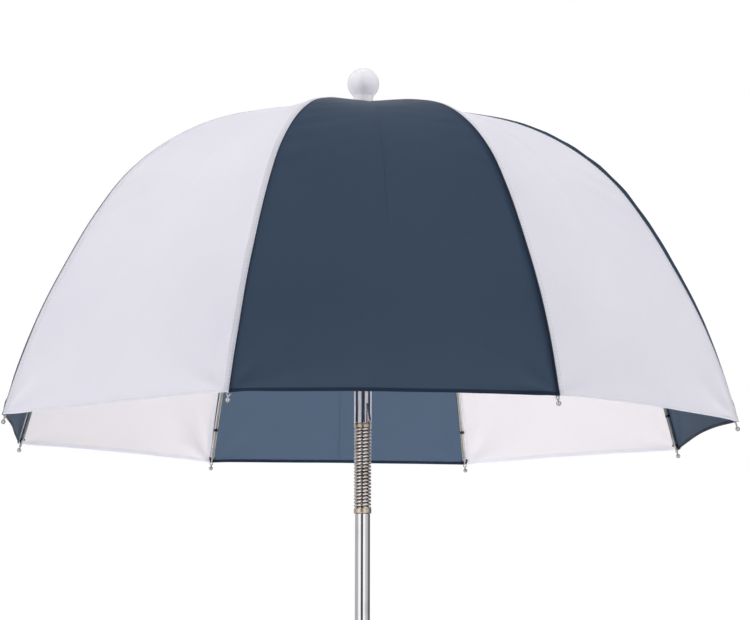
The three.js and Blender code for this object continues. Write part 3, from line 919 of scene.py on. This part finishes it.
def add_corner_thread(number, place, eye_z):
    """Strands from the eyelet up inside the cloth's corner, and a knot on each side of the rib."""
    builder = Builder("black_thread", place)
    section = circle(THREAD_RADIUS, 6)
    for lean in np.linspace(-1, 1, 12):
        high = Vector((0.9, 2.6 * lean, eye_z - 5.2 + 1.6 * abs(lean)))
        low = Vector((0.2, 0.7 * lean, eye_z - 1.0))
        bow = high.lerp(low, 0.5) + Vector((-0.3, 0, 0))
        heading = (low - high).normalized()
        side = heading.cross(Vector((1, 0, 0))).normalized()
        builder.strand([high, bow, low], side, side.cross(heading), section)
    for side in (-1, 1):
        large = (side < 0) == (number % 2 == 1)
        knot = Matrix.Translation((-0.4, side * 2.3, eye_z - 5.0))
        for wrap in range(8 if large else 4):
            tilt = Matrix.Rotation(wrap * 1.3, 4, "X") @ Matrix.Rotation(wrap * 0.9, 4, "Z")
            ring = [(x, y, 0.12 * sin(3 * atan2(y, x)))
                    for x, y in circle(0.45 + 0.08 * wrap, 18)]
            builder.loop(ring, THREAD_RADIUS, within=knot @ tilt)
    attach(builder.done(f"corner_thread_{number}", 180), f"rib_{number}")


def add_stretcher(number):
    """A U channel whose cheeks straddle the rib's lug, riveted there, with a flat runner end."""
    start = Vector((RUNNER_PIVOT_RADIUS, 0, RUNNER_PIVOT_Z))
    end = Vector((LUG_RADIUS, 0, LUG_Z))
    length = (end - start).length
    tilt = atan2(end.z - start.z, end.x - start.x)
    place = arm_turn(number) @ Matrix.Translation(start) @ Matrix.Rotation(-tilt, 4, "Y")
    wall, half, outer = 0.6, 2.2, 1.9
    channel_start, web_end, tongue_end = 10, length - 8, 18
    builder = Builder("galvanised", place)
    rivet = [(0, 0), (1.35, 0), (1.35, 0.15), (1.0, 0.45), (0, 0.6)]
    cheek = [(channel_start, -half), (length, -half), *arc((length, 0), half, -80, 80, 8),
             (length, half), (channel_start + 4, half), (channel_start, -0.6)]
    for side in (-1, 1):
        builder.plate(cheek, wall, side * (outer - wall / 2))
        seat = Matrix.Translation((length, side * outer, 0)) @ quarter_turn("X", -side)
        builder.lathe(rivet, 20, seat)
    pin = [(0, -outer), (0.7, -outer), (0.7, outer), (0, outer)]
    builder.lathe(pin, 16, Matrix.Translation((length, 0, 0)) @ quarter_turn("X"))
    builder.box((channel_start, -outer, -half), (web_end, outer, wall - half))
    tongue = [*arc((0, 0), PLATE_END, 70, 290, 12), (tongue_end, 0.3 - half), (tongue_end, half - 0.6)]
    builder.plate(tongue)
    piece = builder.done(f"stretcher_arm_{number}", 40)
    bevel(piece, 0.12, 1, 50)
    fit(piece, f"stretcher_{number}", "galvanised_steel", f"stretcher_{number}")


def add_arms():
    for number in ARMS:
        add_rib(number)
        add_ties(number)
        add_tip(number)
        add_stretcher(number)


# ---- pole
def quarter_turn(axis, way=1):
    return Matrix.Rotation(way * pi / 2, 4, axis)


def low_edge(radius, low, edge, steps=3):
    """Points round the bottom edge of a turned body, from below out to its radius."""
    return arc((radius - edge, low + edge), edge, -90, 0, steps)


def high_edge(radius, high, edge, steps=3):
    """Points round its top edge, from its radius in to the top."""
    return arc((radius - edge, high - edge), edge, 0, 90, steps)


def groove(radius, low, depth, slope, width):
    """Points down into a groove round a turned body and out again."""
    floor = radius - depth
    return [(radius, low), (floor, low + slope), (floor, low + width - slope), (radius, low + width)]


def rounded(radius, low, high, edge, inner=0):
    """Lathe profile of a rod, or of a tube where inner isn't 0, with rounded edges."""
    outline = low_edge(radius, low, edge, 4) + high_edge(radius, high, edge, 4)
    if inner == 0:
        return [(0, low), *outline, (0, high)]
    return [(inner, low), *outline, (inner, high), (inner, low)]


def tube_profile(name):
    """A CAD tube, with a bore and rounded edges."""
    wall, edge = 0.8, 0.3
    low, high = box(name)
    return rounded(high.y, low.z, high.z, edge, high.y - wall)


def turned_piece(name, profile, material, body, slot, replaced, segments=72):
    """A lathed piece that rides a body and stands in for a CAD node."""
    piece = Builder(material).lathe(profile, segments).done(name, 35)
    keep_flats(piece)
    fit(piece, body, slot, replaced)


def add_base_plug(tube_low):
    """A plug pressed into the lower tube: a rounded foot with three grooves, and a stem."""
    low, high = heights("base_plug")
    foot, stem, flange = 6, 4.7, tube_low - 0.3
    profile = [(0, low), (4.6, low), *arc((4.6, 1), 1, -80, -35, 3), (5.9, 2.2), (foot, 3)]
    for groove_low in (4, 6.4, 8.8):
        profile += groove(foot, groove_low, 0.4, 0.3, 1.2)
    profile += [(foot, flange - 0.2), (foot - 0.2, flange), (stem, flange),
                (stem, high - 1), (stem - 0.5, high), (0, high)]
    turned_piece("pole_end_plug", profile, "black_plastic", "lower_pole", "black_plastic", "base_plug")


def add_lower_spigot(tube_high):
    """The rod that joins the lower tube to the spring."""
    low, high = heights("lower_spigot")
    in_tube, in_spring, edge = 4.7, 4, 0.8
    profile = [(0, low), (in_tube, low), (in_tube, tube_high), (in_spring, tube_high),
               (in_spring, high - edge), (in_spring - edge, high), (0, high)]
    turned_piece("spring_core_lower", profile, "galvanised", "lower_pole", "galvanised_steel",
                 "lower_spigot", 36)


def add_lower_pole():
    tube_low, tube_high = heights("lower_tube")
    turned_piece("pole_tube_lower", tube_profile("lower_tube"), "chrome", "lower_pole", "chrome_tube",
                 "lower_tube")
    add_base_plug(tube_low)
    add_lower_spigot(tube_high)


def add_collars():
    for name, body in (("lower", "lower_pole"), ("upper", "upper_shaft")):
        low, high = heights(f"spring_collar_{name}")
        profile = rounded(COLLAR_RADIUS, low, high, 0.6, 4.3)
        turned_piece(f"collar_{name}", profile, "brass", body, "brass_collar", f"spring_collar_{name}")


def spring_coils(low, high, first, last):
    """The coils between two turns of a spring that runs from low to high, and a dark brown tube inside
    them that shows in their gaps.
    """
    coil = COLLAR_RADIUS - WIRE_RADIUS
    gap_tube, gap_tube_wall = coil - WIRE_RADIUS + 0.15, 0.4
    start, end = (low + (high - low) * np.clip(turn / COIL_TURNS, 0, 1) for turn in (first, last))
    centres, sides = [], []
    for turn in np.linspace(first, last, round((last - first) * COIL_STEPS) + 1):
        angle = 2 * pi * turn
        outward = Vector((cos(angle), sin(angle), 0))
        centres.append(outward * coil + Vector((0, 0, low + (high - low) * turn / COIL_TURNS)))
        sides.append(outward)
    builder = Builder("spring_wire")
    builder.sweep(centres, sides, [(0, 0, 1)] * len(centres), circle(WIRE_RADIUS, WIRE_SIDES))
    levels = np.linspace(start, end, 24).tolist()
    outside = [(gap_tube, z) for z in levels]
    inside = [(gap_tube - gap_tube_wall, z) for z in levels[::-1]]
    # the dark brown tube inside the coils, seen in their gaps
    builder.material = "coil_gap_brown"
    return builder.lathe([*outside, *inside, outside[0]], 32), float(start), float(end)


def add_spring():
    """Close-wound coils over a dark brown tube that shows in their gaps, in two stretches."""
    low = heights("spring_collar_lower")[1] + WIRE_RADIUS * 0.6
    high = heights("spring_collar_upper")[0] - WIRE_RADIUS * 0.6
    half, tucked = COIL_TURNS / 2, 0.6          # the end turns run a little into the collars
    stretches = (
        ("flex_coils_low", -tucked, half, "lower_pole", "spring_middle",
         ["flex_spring_lower", "flex_spring_middle"]),
        ("flex_coils_high", half, COIL_TURNS + tucked, "spring_middle", "upper_shaft",
         ["flex_spring_upper"]),
    )
    for name, first, last, body, next_body, replaced in stretches:
        builder, start, end = spring_coils(low, high, first, last)
        piece = builder.done(name, 50)
        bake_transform(piece)
        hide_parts(*replaced)


def catch_slot(name, below, above):
    """A slot round a catch leaf, longer at the end where the leaf turns."""
    low, high = heights(name)
    half = 1.4
    return box_cutter((4, -half, low - below), (12, half, high + above), CATCH_AZIMUTH)


def add_upper_pole():
    """The upper tube with its catch slots, and the pin that stops the runner."""
    pin_low, pin_high = box("stop_pin")
    place = Matrix.Translation((0, 0, (pin_low.z + pin_high.z) / 2)) @ quarter_turn("Y")
    hole = Builder("black_plastic", place).lathe(rounded(1.2, -15, 15, 0.1), 24).done("cutter")
    side_gap, root_gap = 0.3, 0.9
    slots = [catch_slot("bottom_catch", root_gap, side_gap), catch_slot("top_catch", side_gap, root_gap)]
    tube = Builder("chrome").lathe(tube_profile("upper_tube")).done("pole_tube_upper")
    cut(tube, [*slots, hole])
    fit(tube, "upper_shaft", "chrome_tube", "upper_tube")

    rod = rounded(1, pin_low.x, pin_high.x, 0.3)
    pin = Builder("galvanised", place).lathe(rod, 24).done("stop_pin_rod", 35)
    fit(pin, "upper_shaft", "galvanised_steel", "stop_pin")


def refine_cad_node(name, material, edge, segments):
    """A CAD node that stays as it is, with a better material and rolled edges."""
    node = frame["nodes"][name]
    node.data.materials.clear()
    node.data.materials.append(MATERIALS[material])
    bevel(node, edge, segments)


def add_finial():
    """A gloss ball on a short neck, with the flash line of its mould round the middle."""
    low, high = box("finial")
    ball, middle = high.x, high.z - high.x
    stem, neck, edge, fillet, neck_low = 5.7, 8, 0.6, 0.8, low.z + 16
    neck_angle = degrees(asin(neck / ball))
    neck_high = middle - ball * cos(radians(neck_angle)) - edge
    profile = [(0, low.z), (stem, low.z), (stem, neck_low), *low_edge(neck, neck_low, edge, 4),
               *arc((neck + fillet, neck_high), fillet, 180, 120, 4)]
    flash, flash_reach = 0.08, radians(1.5)
    for angle in np.radians(np.linspace(neck_angle + 4, 180, 45)[:-1]):
        radius = ball if abs(angle - pi / 2) < flash_reach else ball - flash
        profile.append((radius * sin(angle), middle - radius * cos(angle)))
    profile.append((0, high.z - flash))
    turned_piece("finial_ball", profile, "gloss_white", "upper_shaft", "white_gloss_plastic",
                 "finial", 96)


# ---- hubs
def arm_slots(width, inner, low, high):
    """A radial slot for each arm, from an inner radius out."""
    return [box_cutter((inner, -width / 2, low), (20, width / 2, high), arm_azimuth(number))
            for number in ARMS]


def add_crown():
    """The slotted hub that the ribs hinge in, and the wire ring that they hinge on."""
    bore, sleeve, crown, edge = 7.3, 9.3, 14.5, 0.6
    low, high = heights("crown_notch")
    shoulder = HINGE_Z - 6
    profile = [(bore, low), *low_edge(sleeve, low, 0.5),
               (sleeve, shoulder - 1), *arc((sleeve + 1, shoulder - 1), 1, 180, 90, 3),
               *low_edge(crown, shoulder, edge),
               (crown, HINGE_Z - 0.7), (crown - 0.5, HINGE_Z), (crown, HINGE_Z + 0.7),
               *high_edge(crown, high, edge), (bore, high), (bore, low)]
    hub = Builder("black_plastic").lathe(profile).done("crown_hub")
    cut(hub, arm_slots(2.1, 8.5, shoulder - 3, high + 1))
    fit(hub, "upper_shaft", "black_plastic", "crown_notch")

    ring = [(x, y, HINGE_Z) for x, y in circle(HINGE_RADIUS, 64)]
    wire = Builder("galvanised").loop(ring, 0.5, 10).done("crown_wire", 180)
    fit(wire, "upper_shaft", "galvanised_steel", "notch_wire")


def add_washer():
    """A dished washer over the cloth, under the ball's neck."""
    low, high = box("canopy_washer")
    bore, thickness, rim = 7.3, 0.8, high.x
    profile = [(bore, high.z - thickness), (rim - 0.4, low.z), (rim, low.z + 0.3),
               (rim - 0.2, low.z + thickness), (bore, high.z), (bore, high.z - thickness)]
    turned_piece("crown_washer", profile, "galvanised", "upper_shaft", "galvanised_steel",
                 "canopy_washer")


def add_runner():
    """Slotted sliding hub: a grooved grip, a window for the catches and a slot for each stretcher."""
    bore, sleeve, grip, crown, edge = 7.4, 10, 11.5, 15.5, 0.7
    crown_low = RUNNER_PIVOT_Z - 9.5
    profile = [(bore, RUNNER_LOW), *low_edge(grip, RUNNER_LOW, edge),
               *arc((grip - edge, RUNNER_LOW + 2.6), edge, 0, 60, 3), (sleeve, RUNNER_LOW + 6)]
    for below_crown in (10, 7.8, 5.6, 3.4):
        profile += groove(sleeve, crown_low - below_crown, 0.45, 0.4, 1.4)
    profile += [(sleeve, crown_low - 0.9), *low_edge(crown, crown_low, edge),
                *high_edge(crown, RUNNER_HIGH, edge), (bore, RUNNER_HIGH), (bore, RUNNER_LOW)]
    half, window_low, window_high = 1.4, RUNNER_PIVOT_Z - 37.8, RUNNER_PIVOT_Z - 22.3
    window = box_cutter((6, -half, window_low), (14, half, window_high), CATCH_AZIMUTH)
    slots = arm_slots(2.4, 9.4, crown_low - 1, RUNNER_HIGH + 1)
    hub = Builder("black_plastic").lathe(profile).done("runner_hub")
    cut(hub, [*slots, window])
    fit(hub, "runner", "black_plastic", "runner")


# ---- camera, lamps, surround and floor
def add_camera():
    """The camera fitted to the canopy's rib tips, seams and pole, below the rim and looking up."""
    distance, height, aside = 2.065, 0.6493, 0.0096
    yaw, pitch, roll = (radians(angle) for angle in (-4.75, 8.35, -0.08))
    data = bpy.data.cameras.new("camera")
    data.sensor_width = 36
    data.lens = 125.5
    camera = link("camera", data)
    turn = Matrix.Rotation(yaw, 4, "Z")
    aim = Matrix.Rotation(pi / 2 + pitch, 4, "X") @ Matrix.Rotation(-roll, 4, "Z")
    camera.matrix_world = turn @ Matrix.Translation((aside, -distance, height)) @ aim
    bpy.context.scene.camera = camera


def add_lamp(name, spot, size, energy):
    """A soft box aimed at the canopy, unseen in the metal."""
    canopy_middle = Vector((0, 0, 0.95))
    data = bpy.data.lights.new(name, "AREA")
    data.shape = "RECTANGLE"
    data.size, data.size_y = size
    data.energy = energy
    lamp = link(name, data)
    lamp.location = spot
    lamp.visible_glossy = False
    lamp.rotation_mode = "QUATERNION"
    lamp.rotation_quaternion = (canopy_middle - Vector(spot)).to_track_quat("-Z", "Y")


def add_surround():
    """White behind the front view, pale grey elsewhere; metal reflects soft boxes and dark gaps."""
    world = bpy.data.worlds.new("studio")
    bpy.context.scene.world = world
    nodes = Nodes(world)
    place = nodes.add("TexCoord", "Generated")
    around = nodes.add("TexGradient", "Fac", {"Vector": place}, gradient_type="RADIAL")

    def background(bands):
        """Grey levels by direction, as shares of a turn from -X."""
        colour = nodes.add("ValToRGB", "Color", {"Fac": around})
        stops = colour.node.color_ramp.elements
        while len(stops) < len(bands):
            stops.new(0.5)
        for stop, (position, _) in zip(stops, bands):
            stop.position = position
        for stop, (_, level) in zip(stops, bands):
            stop.color = (level, level, level * 1.01, 1)
        return nodes.add("Background", 0, {"Color": colour})

    even = background([(0.0, AMBIENT), (1.0, AMBIENT)])
    mirrored = background([
        (0.0, 0.6), (0.03, 0.7), (0.08, 1.35), (0.145, 1.4), (0.175, 0.5), (0.193, 0.03),
        (0.245, 0.03), (0.265, 1.0), (0.28, 1.42), (0.32, 1.4), (0.35, 1.0), (0.39, 0.75),
        (0.45, 0.7), (0.5, 0.36), (0.55, 0.1), (0.62, 0.1), (0.68, 0.6),
    ])
    backdrop = background([(0.0, 0.68), (0.58, 0.68), (0.69, 1.0), (0.81, 1.0), (0.92, 0.68)])
    lit = nodes.mix(nodes.add("LightPath", "Is Glossy Ray"), even, mirrored)
    nodes.surface(nodes.mix(nodes.add("LightPath", "Is Camera Ray"), lit, backdrop))


def add_studio():
    """A pale floor, the surround and soft lamps."""
    reach, top, low = 4000, -0.5, -20
    floor = Builder("floor").box((-reach, -reach, low), (reach, reach, top)).done("floor")
    floor.visible_glossy = False
    add_surround()
    add_lamp("key", (-2.95, -0.6, 1.8), (1.6, 1.6), 37)
    add_lamp("fill", (3.05, -0.5, 1.9), (1.8, 1.8), 31)
    add_lamp("top", (0.1, -0.6, 2.95), (2.0, 2.0), 26)
    add_lamp("back", (0.35, 2.6, 1.5), (2.6, 2.0), 148)


# ---- the object
add_camera()
add_canopy()
add_arms()
add_lower_pole()
add_collars()
add_spring()
add_upper_pole()
refine_cad_node("upper_spigot", "galvanised", 0.2, 2)
refine_cad_node("bottom_catch", "chrome", 0.25, 3)
refine_cad_node("top_catch", "chrome", 0.25, 3)
add_finial()
add_crown()
add_washer()
add_runner()
add_studio()
bpy.context.scene.view_settings.view_transform = "Standard"
